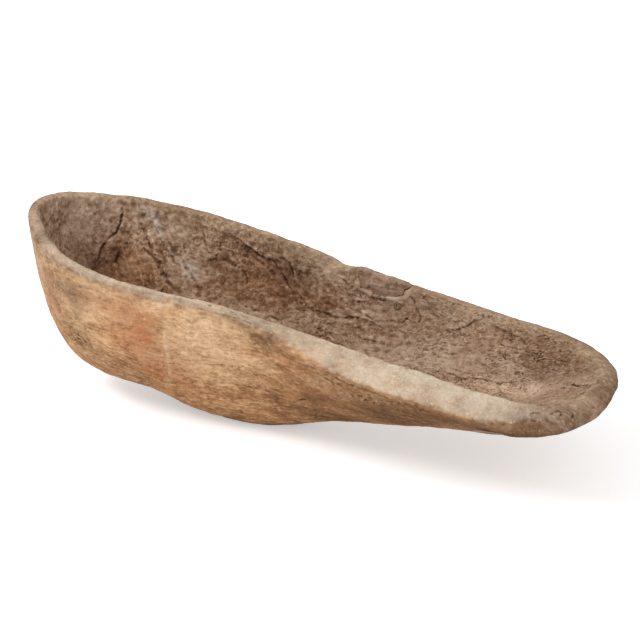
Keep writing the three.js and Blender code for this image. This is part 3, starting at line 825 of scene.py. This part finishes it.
def foldedIndices(rows, count):
    # the first and last row fold flat onto a line, so their far half shares the near one's points
    half = count // 2
    folded = half + 1
    starts = [0] + [folded + count * r for r in range(rows - 1)]
    index = np.empty((rows, count), int)
    j = np.arange(count)
    mirrored = np.where(j > half, count - j, j)
    for r in range(rows):
        index[r] = starts[r] + (mirrored if r in (0, rows - 1) else j)
    return index


def meshFrom(name, points, faces, masks=None):
    mesh = bpy.data.meshes.new(name)
    mesh.vertices.add(len(points))
    mesh.vertices.foreach_set("co", (points * metresPerMm).astype(np.float32).ravel())
    loops = np.concatenate([f.ravel() for f in faces])
    sizes = np.concatenate([np.full(len(f), f.shape[1]) for f in faces])
    mesh.loops.add(len(loops))
    mesh.loops.foreach_set("vertex_index", loops.astype(np.int32))
    mesh.polygons.add(len(sizes))
    mesh.polygons.foreach_set("loop_start", (np.cumsum(sizes) - sizes).astype(np.int32))
    mesh.polygons.foreach_set("loop_total", sizes.astype(np.int32))
    for mask, values in (masks or {}).items():
        mesh.attributes.new(mask, "FLOAT", "POINT").data.foreach_set("value", values.astype(np.float32))
    mesh.update(calc_edges=True)
    mesh.validate()
    mesh.shade_smooth()
    piece = bpy.data.objects.new(name, mesh)
    bpy.context.scene.collection.objects.link(piece)
    return piece


# a pale sliver that has lifted from the lower edge under the scoop end
splinter = {
    "around": (133.4, 141),
    "reach": (74, 66),
    "lift": 4,             # of its free end
    "halfWidth": 2,
    "halfThickness": .9,
    "points": 30,
    "spokes": 10,
}


def splitSliver():
    s = splinter
    share = np.linspace(0, 1, s["points"])
    place, facing = onSkin(np.interp(share, [0, 1], s["around"]), np.interp(share, [0, 1], s["reach"]))
    centre = place + facing * (.4 + s["lift"] * (1 - share) ** 2)[:, None]
    lengthwise = np.gradient(centre, axis=0)
    lengthwise /= np.linalg.norm(lengthwise, axis=1, keepdims=True)
    sideways = np.cross(facing, lengthwise)
    halfWidth = (.3 + s["halfWidth"] * np.sin(share * math.pi) ** .6)[:, None]
    angles = np.arange(s["spokes"]) / s["spokes"] * 2 * math.pi
    points = [centre + sideways * halfWidth * math.cos(a) + facing * s["halfThickness"] * math.sin(a)
              for a in angles]
    points = np.stack(points, 1).reshape(-1, 3)
    ring = np.arange(s["spokes"])
    following = np.roll(ring, -1)
    starts = range(0, len(points) - s["spokes"], s["spokes"])
    quads = np.vstack([np.stack([a + ring, a + following, a + s["spokes"] + following,
                                 a + s["spokes"] + ring], -1) for a in starts])
    ends = len(points)
    last = ends - s["spokes"]
    caps = np.vstack([np.stack([np.full_like(ring, ends), following, ring], -1),
                      np.stack([np.full_like(ring, ends + 1), last + ring, last + following], -1)])
    return np.vstack([points, centre[:1], centre[-1:]]), quads, caps


def buildBowl():
    grid, masks = carveBowl()
    rows, count = grid.shape[:2]
    index = foldedIndices(rows, count)
    firstOf = np.unique(index.ravel(), return_index=True)[1]
    points = grid.reshape(-1, 3)[firstOf]
    points[index[[0, -1]], 1] = 0
    a, b = index[:-1], index[1:]
    quads = np.stack([a, np.roll(a, -1, 1), np.roll(b, -1, 1), b], -1).reshape(-1, 4)
    sliver, sliverQuads, sliverCaps = splitSliver()
    faces = [quads, sliverQuads + len(points), sliverCaps + len(points)]
    flat = {}
    for name, values in masks.items():
        ofSliver = np.full(len(sliver), {"chalk": .6, "grey": 1, "ash": .6}.get(name, 0))
        flat[name] = np.r_[values.reshape(-1)[firstOf], ofSliver]
    return meshFrom("dugoutBowl", np.vstack([points, sliver]), faces, flat)


bowl = buildBowl()
print("bowl built", len(bowl.data.vertices), "points")


# the knots: plugs of darker wood that stand a little proud of their seats

def buildPlug(name, plug, chart, height):
    # chart gives (degrees, mm from the crest) for a share out and an angle round the plug
    rings, spokes = plug["rings"], plug["spokes"]
    out = np.repeat(np.linspace(0, 1, rings + 1)[1:], spokes)
    angle = np.tile(np.arange(spokes) / spokes * 2 * math.pi, rings)
    out, angle = np.r_[0, out], np.r_[0, angle]
    place, facing = onSkin(*chart(out, angle))
    top = place + facing * height(place, out, angle)[:, None]
    bottom = place - facing * plug["thickness"]
    ring = np.arange(spokes)
    following = np.roll(ring, -1)
    count = len(top)
    caps = [np.stack([np.zeros(spokes, int), 1 + ring, 1 + following], -1)]
    quads = []
    for r in range(rings - 1):
        a, b = 1 + r * spokes, 1 + (r + 1) * spokes
        quads.append(np.stack([a + ring, b + ring, b + following, a + following], -1))
    last = 1 + (rings - 1) * spokes
    under = [q[:, ::-1] + count for q in quads]
    side = [np.stack([last + ring, count + last + ring, count + last + following, last + following], -1)]
    faces = caps + [caps[0][:, ::-1] + count] + quads + under + side
    return meshFrom(name, np.vstack([top, bottom]), faces, {"edgeward": np.r_[out, out]})


def rimKnotChart(out, angle):
    k = knotPlace
    size = .975 * knotOutline(angle) * out
    x = k["along"] + k["halfLength"] * size * np.cos(angle)
    return aroundAt(x, -1), k["centreReach"] + k["halfReach"] * size * np.sin(angle)


def rimKnotHeight(place, out, angle):
    grains = layeredNoise(place, 5, 2, 81) * .6 + noise(place, (24, 3, 3), 83) * .5
    lobes = 1.2 * noise(place, 18, 84)
    rounded = -2 * smoothStep(.7, 1, out) ** 2
    return knotPlace["proud"] + grains + lobes + rounded


def pinKnotChart(out, angle):
    p = pinKnotPlace
    sides = onSkin([p["around"] - .5, p["around"] + .5], [p["reach"]])[0]
    perDegree = np.linalg.norm(sides[1] - sides[0])
    wobble = 1 + .06 * np.sin(2 * angle + 1) + .04 * np.sin(5 * angle)
    return (p["around"] - p["radius"] * wobble * out * np.cos(angle) / perDegree,
            p["reach"] + p["radius"] * wobble * out * np.sin(angle))


def pinKnotHeight(place, out, angle):
    ringed = .35 * np.cos(out * 3 * 2 * math.pi)
    return pinKnotPlace["proud"] + ringed + .3 * noise(place, 3, 91) - 1.4 * smoothStep(.75, 1, out) ** 2


rimKnot = buildPlug("rimKnot", knotPlace, rimKnotChart, rimKnotHeight)
pinKnot = buildPlug("pinKnot", pinKnotPlace, pinKnotChart, pinKnotHeight)
print("knots built")


# materials

def srgb(r, g, b):
    def linear(v):
        v /= 255
        return v / 12.92 if v <= .04045 else ((v + .055) / 1.055) ** 2.4
    return (linear(r), linear(g), linear(b), 1)


class WoodNodes:
    # a short way to join nodes in one material
    def __init__(self, name):
        self.material = bpy.data.materials.new(name)
        self.material.use_nodes = True
        self.tree = self.material.node_tree
        self.tree.nodes.clear()
        self.coords = self.add("ShaderNodeTexCoord").outputs["Object"]

    def add(self, kind, **settings):
        made = self.tree.nodes.new(kind)
        for key, value in settings.items():
            setattr(made, key, value)
        return made

    def link(self, source, target):
        if hasattr(source, "links"):
            self.tree.links.new(source, target)
        else:
            target.default_value = source

    def mask(self, name):
        return self.add("ShaderNodeAttribute", attribute_name=name).outputs["Fac"]

    def stretched(self, scale, coords):
        mapping = self.add("ShaderNodeMapping")
        self.link(coords, mapping.inputs["Vector"])
        mapping.inputs["Scale"].default_value = scale
        return mapping.outputs["Vector"]

    def noise(self, scale, detail=4, roughness=.55, coords=None, output="Fac"):
        # a scale of three numbers is along, across and up
        made = self.add("ShaderNodeTexNoise")
        coords = coords or self.coords
        self.link(self.stretched(scale, coords) if isinstance(scale, tuple) else coords, made.inputs["Vector"])
        made.inputs["Scale"].default_value = 1 if isinstance(scale, tuple) else scale
        made.inputs["Detail"].default_value = detail
        made.inputs["Roughness"].default_value = roughness
        return made.outputs[output]

    def bent(self, coords, scale, amount):
        # coordinates that wander by about amount metres
        made = self.add("ShaderNodeVectorMath", operation="MULTIPLY_ADD")
        self.link(self.noise(scale, 3, coords=coords, output="Color"), made.inputs[0])
        made.inputs[1].default_value = (amount, amount, amount)
        self.link(coords, made.inputs[2])
        return made.outputs[0]

    def weigh(self, *parts):
        # a weighted sum of values
        total = 0.0
        for value, weight in parts:
            total = self.plus(total, value, weight)
        return total

    def blend(self, share, a, b):
        made = self.add("ShaderNodeMix", data_type="FLOAT")
        self.link(share, made.inputs[0])
        self.link(a, made.inputs[2])
        self.link(b, made.inputs[3])
        return made.outputs[0]

    def math(self, operation, a, b=0.0, c=0.0):
        made = self.add("ShaderNodeMath", operation=operation)
        for socket, value in zip(made.inputs, (a, b, c)):
            self.link(value, socket)
        return made.outputs[0]

    def times(self, a, b):
        return self.math("MULTIPLY", a, b)

    def plus(self, value, extra, weight):
        return self.math("MULTIPLY_ADD", extra, weight, value)

    def spread(self, value, low, high, toLow=0.0, toHigh=1.0):
        made = self.add("ShaderNodeMapRange", interpolation_type="SMOOTHSTEP")
        self.link(value, made.inputs["Value"])
        for name, v in (("From Min", low), ("From Max", high), ("To Min", toLow), ("To Max", toHigh)):
            made.inputs[name].default_value = v
        return made.outputs["Result"]

    def ramp(self, value, stops):
        made = self.add("ShaderNodeValToRGB")
        ramp = made.color_ramp
        while len(ramp.elements) < len(stops):
            ramp.elements.new(.5)
        for element, (place, colour) in zip(ramp.elements, stops):
            element.position = place
            element.color = colour
        self.link(value, made.inputs["Fac"])
        return made.outputs["Color"]

    def mix(self, share, a, b, kind="MIX"):
        made = self.add("ShaderNodeMix", data_type="RGBA", blend_type=kind)
        made.inputs[0].default_value = 1
        self.link(share, made.inputs[0])
        self.link(a, made.inputs[6])
        self.link(b, made.inputs[7])
        return made.outputs[2]

    def finish(self, colour, roughness, bumps):
        # bumps are heights and their depths in metres
        shader = self.add("ShaderNodeBsdfPrincipled")
        self.link(colour, shader.inputs["Base Color"])
        self.link(roughness, shader.inputs["Roughness"])
        shader.inputs["Specular IOR Level"].default_value = dryGloss
        before = None
        for height, distance in bumps:
            bump = self.add("ShaderNodeBump")
            bump.inputs["Strength"].default_value = 1
            bump.inputs["Distance"].default_value = distance
            self.link(height, bump.inputs["Height"])
            if before:
                self.link(before, bump.inputs["Normal"])
            before = bump.outputs["Normal"]
        self.link(before, shader.inputs["Normal"])
        output = self.add("ShaderNodeOutputMaterial")
        self.link(shader.outputs[0], output.inputs["Surface"])
        return self.material


dryGloss = .25
woodLook = {
    "outsideDark": srgb(96, 60, 34),
    "outsideBrown": srgb(162, 116, 76),
    "outsideTan": srgb(198, 157, 116),
    "outsideCream": srgb(218, 186, 150),
    "hollowDark": srgb(66, 36, 18),
    "hollowBrown": srgb(118, 82, 54),
    "hollowTaupe": srgb(156, 129, 106),
    "hollowPale": srgb(188, 166, 143),
    "rim": srgb(158, 134, 108),
    "dust": srgb(204, 187, 166),
    "dustDark": srgb(184, 161, 136),
    "rust": srgb(182, 108, 70),
    "cream": srgb(224, 194, 156),
    "umber": srgb(90, 53, 27),
    "amber": srgb(170, 116, 66),
    "ash": srgb(153, 134, 115),
    "rose": srgb(172, 148, 128),
    "chalk": srgb(206, 194, 180),
    "crumb": srgb(228, 220, 210),
    "crack": srgb(46, 28, 17),
    "roughness": .88,
}


# its noises: scale, detail and roughness
woodNoises = {
    "fibre": ((34, 190, 190), 6, .66),
    "streak": ((13, 46, 46), 5, .62),
    "broad": ((5, 12, 12), 4, .55),
    "mottle": (30, 6, .62),
    "fine": (230, 4, .6),
    "speckle": (110, 5, .7),
    "upright": ((120, 120, 12), 5, .6),
    "crumbled": ((95, 170, 170), 5, .72),
    "scratches": ((100, 360, 360), 3, .6),
    "paleMarks": ((140, 330, 170), 3, .6),
    "crumbs": (390, 1, .5),
}
# how fully each colour covers the wood, in the order they are laid on
stainCover = {"ash": .7, "rose": .7, "cream": .7, "rust": .75, "amber": .7, "umber": .8, "chalk": .85}


def weatheredWood():
    w = WoodNodes("weatheredWood")
    c = woodLook
    bent = w.bent(w.bent(w.coords, 5, .05), 36, .014)
    n = {name: w.noise(*settings, bent if isinstance(settings[0], tuple) else None)
         for name, settings in woodNoises.items()}
    fibre, streak, mottle, fine, speckle = [n[name] for name in ("fibre", "streak", "mottle", "fine", "speckle")]
    hollow, dust, rim, wearAndRecessShade, toneAndPaintedShade = [w.mask(name) for name in ("hollow", "dust", "rim", "wearAndRecessShade", "toneAndPaintedShade")]
    split = w.add("ShaderNodeSeparateXYZ")
    w.link(w.coords, split.inputs[0])
    x = split.outputs["X"]
    # end grain stands upright on the wall of the deep end, and the rest of the hollow crumbles
    endWall = w.times(w.spread(x, -.3, -.36, 0, .85), hollow)
    fibre = w.blend(endWall, fibre, n["upright"])
    streak = w.blend(endWall, streak, mottle)
    fibre = w.blend(w.times(hollow, .65), fibre, n["crumbled"])
    # the scoop's worn lip shows no lengthwise grain
    smooth = w.times(rim, w.spread(x, .25, .4))
    fibre = w.blend(smooth, fibre, speckle)
    streak = w.blend(smooth, streak, mottle)
    grain = w.weigh((fibre, .32), (streak, .16), (mottle, .24), (speckle, .28))
    # the bevel and the scoop end show less of the grain
    quiet = w.math("MAXIMUM", dust, w.spread(x, -.05, .25, 0, .65))
    tone = w.blend(w.times(quiet, .5), w.weigh((grain, .7), (n["broad"], .3)), .505)
    # recesses painted darker as shade, ridges lighter, and the spots of tone, painted shade and painted light move
    # the colour along the ramp
    tone = w.plus(w.plus(tone, wearAndRecessShade, .05), toneAndPaintedShade, .12)
    # the outside is lighter towards the rim
    outside = w.ramp(w.plus(tone, w.mask("lighterTowardsRim"), .06), [
        (.38, c["outsideDark"]), (.48, c["outsideBrown"]), (.56, c["outsideTan"]), (.68, c["outsideCream"])])
    inside = w.ramp(tone, [
        (.36, c["hollowDark"]), (.45, c["hollowBrown"]), (.53, c["hollowTaupe"]), (.65, c["hollowPale"])])
    colour = w.mix(w.mask("grey"), outside, inside)
    patchy = w.spread(w.weigh((mottle, .3), (speckle, .3), (fibre, .4)), .4, .6, .4, 1)
    for name, cover in stainCover.items():
        colour = w.mix(w.times(w.mask(name), w.times(patchy, cover)), colour, c[name])
    colour = w.mix(w.times(rim, .45), colour, c["rim"])
    dusty = w.mix(w.spread(w.weigh((mottle, .5), (fine, .5)), .35, .6), c["dustDark"], c["dust"])
    colour = w.mix(w.times(dust, w.spread(mottle, .25, .55, .75, 1)), colour, dusty)
    # short dark scratches and pale marks along the grain
    scratches = w.times(w.spread(n["scratches"], .58, .7, 0, .5), w.spread(dust, 0, .7, 1, .25))
    colour = w.mix(scratches, colour, w.mix(hollow, c["outsideDark"], c["hollowDark"]))
    paleMarks = w.spread(n["paleMarks"], .58, .7, 0, .55)
    colour = w.mix(paleMarks, colour, w.mix(hollow, c["outsideCream"], c["hollowPale"]))
    # cracks, seams, pits and ledge faces take the crack colour: their dirt with painted shade in their depth
    colour = w.mix(w.spread(w.mask("crackedAndShaded"), .03, .85, 0, .88), colour, c["crack"])
    # crumbs of pale dust, most of them on the bevel
    crumbly = w.spread(w.weigh((dust, .8), (speckle, .6)), .2, .9, .1, 1)
    colour = w.mix(w.times(w.spread(n["crumbs"], .68, .74, 0, .85), crumbly), colour, c["crumb"])
    # grain, then recesses painted darker as shade and ridges lighter, then the spots of tone, painted shade and
    # painted light, over all of it
    level = w.math("MULTIPLY_ADD", w.math("SUBTRACT", grain, .5), w.blend(quiet, 1.8, .6), 1)
    level = w.math("ADD", level, w.weigh((wearAndRecessShade, .16), (toneAndPaintedShade, .7)))
    colour = w.mix(1, colour, level, "MULTIPLY")
    roughness = w.spread(mottle, .3, .7, c["roughness"] - .06, c["roughness"] + .06)
    rough = w.weigh((fibre, .5), (fine, .25), (speckle, .25))
    rough = w.blend(smooth, rough, w.times(rough, .45))
    return w.finish(colour, roughness, [(streak, .0012), (rough, .0024)])


knotLook = {
    "dark": srgb(80, 57, 41),
    "grey": srgb(136, 110, 89),
    "pale": srgb(172, 148, 127),
    "edge": srgb(150, 121, 96),
    "roughness": .9,
}


def knotWood():
    w = WoodNodes("knotWood")
    k = knotLook
    bent = w.bent(w.coords, 24, .012)
    grains = w.noise(150, 5, .7)
    layers = w.noise((22, 90, 90), 5, .62, bent)
    tone = w.weigh((grains, .5), (layers, .5))
    colour = w.ramp(tone, [(.36, k["dark"]), (.48, k["grey"]), (.6, k["pale"])])
    edge = w.plus(w.mask("edgeward"), w.math("SUBTRACT", layers, .5), .8)
    colour = w.mix(w.spread(edge, .65, 1, 0, .8), colour, w.mix(w.spread(grains, .4, .6), k["grey"], k["edge"]))
    return w.finish(colour, k["roughness"], [(tone, .002)])


pinKnotLook = {"heart": srgb(64, 40, 26), "ring": srgb(142, 112, 88), "roughness": .85}


def deadKnot():
    w = WoodNodes("deadKnot")
    p = pinKnotLook
    rings = w.math("SINE", w.times(w.mask("edgeward"), 16))
    tone = w.plus(w.noise(420, 4, .6), rings, .14)
    colour = w.ramp(tone, [(.34, p["heart"]), (.58, p["ring"])])
    return w.finish(colour, p["roughness"], [(tone, .0006)])


for piece, node, slotName, make in (
        (bowl, "bowl_body", "weathered_wood", weatheredWood),
        (rimKnot, "rim_knot", "knot_wood", knotWood),
        (pinKnot, "pin_knot", "dead_knot", deadKnot)):
    piece.data.materials.append(make())
    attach(piece, "root")
    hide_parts(node)
print("materials made")


# floor, light and camera

studio = {
    "floorSize": 14,
    "floorColour": .8,
    "floorSeen": .85,
    "floorGlow": .42,       # seen by the camera alone
    "sky": .64,
    "keyPower": 56,
    "keySize": 1.3,
    "keyFrom": (-1.5, -1.1, 2.3),
    "fillPower": 14,
    "fillSize": 2.4,
    "fillFrom": (1.9, -1.2, 1.6),
    "aim": (0, 0, .12),
}


def layFloor():
    half = studio["floorSize"] / 2
    mesh = bpy.data.meshes.new("studioFloor")
    mesh.from_pydata([(-half, -half, 0), (half, -half, 0), (half, half, 0), (-half, half, 0)], [], [(0, 1, 2, 3)])
    floor = bpy.data.objects.new("studioFloor", mesh)
    floor.location.z = -.0004
    bpy.context.scene.collection.objects.link(floor)
    w = WoodNodes("studioPaper")
    seen = w.add("ShaderNodeLightPath").outputs["Is Camera Ray"]
    plain, bright = studio["floorColour"], studio["floorSeen"]
    shader = w.add("ShaderNodeBsdfDiffuse")
    w.link(w.mix(seen, (plain, plain, plain, 1), (bright, bright, bright, 1)), shader.inputs["Color"])
    glow = w.add("ShaderNodeEmission")
    w.link(w.times(seen, studio["floorGlow"]), glow.inputs["Strength"])
    both = w.add("ShaderNodeAddShader")
    w.link(shader.outputs[0], both.inputs[0])
    w.link(glow.outputs[0], both.inputs[1])
    output = w.add("ShaderNodeOutputMaterial")
    w.link(both.outputs[0], output.inputs["Surface"])
    mesh.materials.append(w.material)


def hangLight(name, power, size, place):
    lamp = bpy.data.lights.new(name, "AREA")
    lamp.shape = "DISK"
    lamp.size = size
    lamp.energy = power
    holder = bpy.data.objects.new(name, lamp)
    holder.location = place
    holder.rotation_euler = (Vector(studio["aim"]) - Vector(place)).to_track_quat("-Z", "Y").to_euler()
    bpy.context.scene.collection.objects.link(holder)


def lightSky():
    world = bpy.data.worlds.new("studioSky")
    bpy.context.scene.world = world
    world.use_nodes = True
    tree = world.node_tree
    tree.nodes.clear()
    path = tree.nodes.new("ShaderNodeLightPath")
    strength = tree.nodes.new("ShaderNodeMapRange")
    tree.links.new(path.outputs["Is Camera Ray"], strength.inputs["Value"])
    strength.inputs["To Min"].default_value = studio["sky"]
    strength.inputs["To Max"].default_value = 1
    background = tree.nodes.new("ShaderNodeBackground")
    background.inputs["Color"].default_value = (1, 1, 1, 1)
    tree.links.new(strength.outputs["Result"], background.inputs["Strength"])
    output = tree.nodes.new("ShaderNodeOutputWorld")
    tree.links.new(background.outputs[0], output.inputs["Surface"])


cameraPlace = {
    "round": 22,            # degrees from straight in front, towards the scoop end
    "above": 25,
    "distance": 2.6,
    "lens": 100.8,
    "target": (.0136, .0011, .1755),
}


def setCamera():
    p = cameraPlace
    turn, lift = math.radians(p["round"]), math.radians(p["above"])
    back = Vector((math.sin(turn) * math.cos(lift), -math.cos(turn) * math.cos(lift), math.sin(lift)))
    camera = bpy.data.cameras.new("camera")
    camera.lens = p["lens"]
    camera.sensor_width = 36
    holder = bpy.data.objects.new("camera", camera)
    holder.location = Vector(p["target"]) + back * p["distance"]
    holder.rotation_euler = back.to_track_quat("Z", "Y").to_euler()
    bpy.context.scene.collection.objects.link(holder)
    bpy.context.scene.camera = holder


layFloor()
hangLight("keyLight", studio["keyPower"], studio["keySize"], studio["keyFrom"])
hangLight("fillLight", studio["fillPower"], studio["fillSize"], studio["fillFrom"])
lightSky()
setCamera()
bpy.context.scene.view_settings.view_transform = "Standard"
print("stage set")
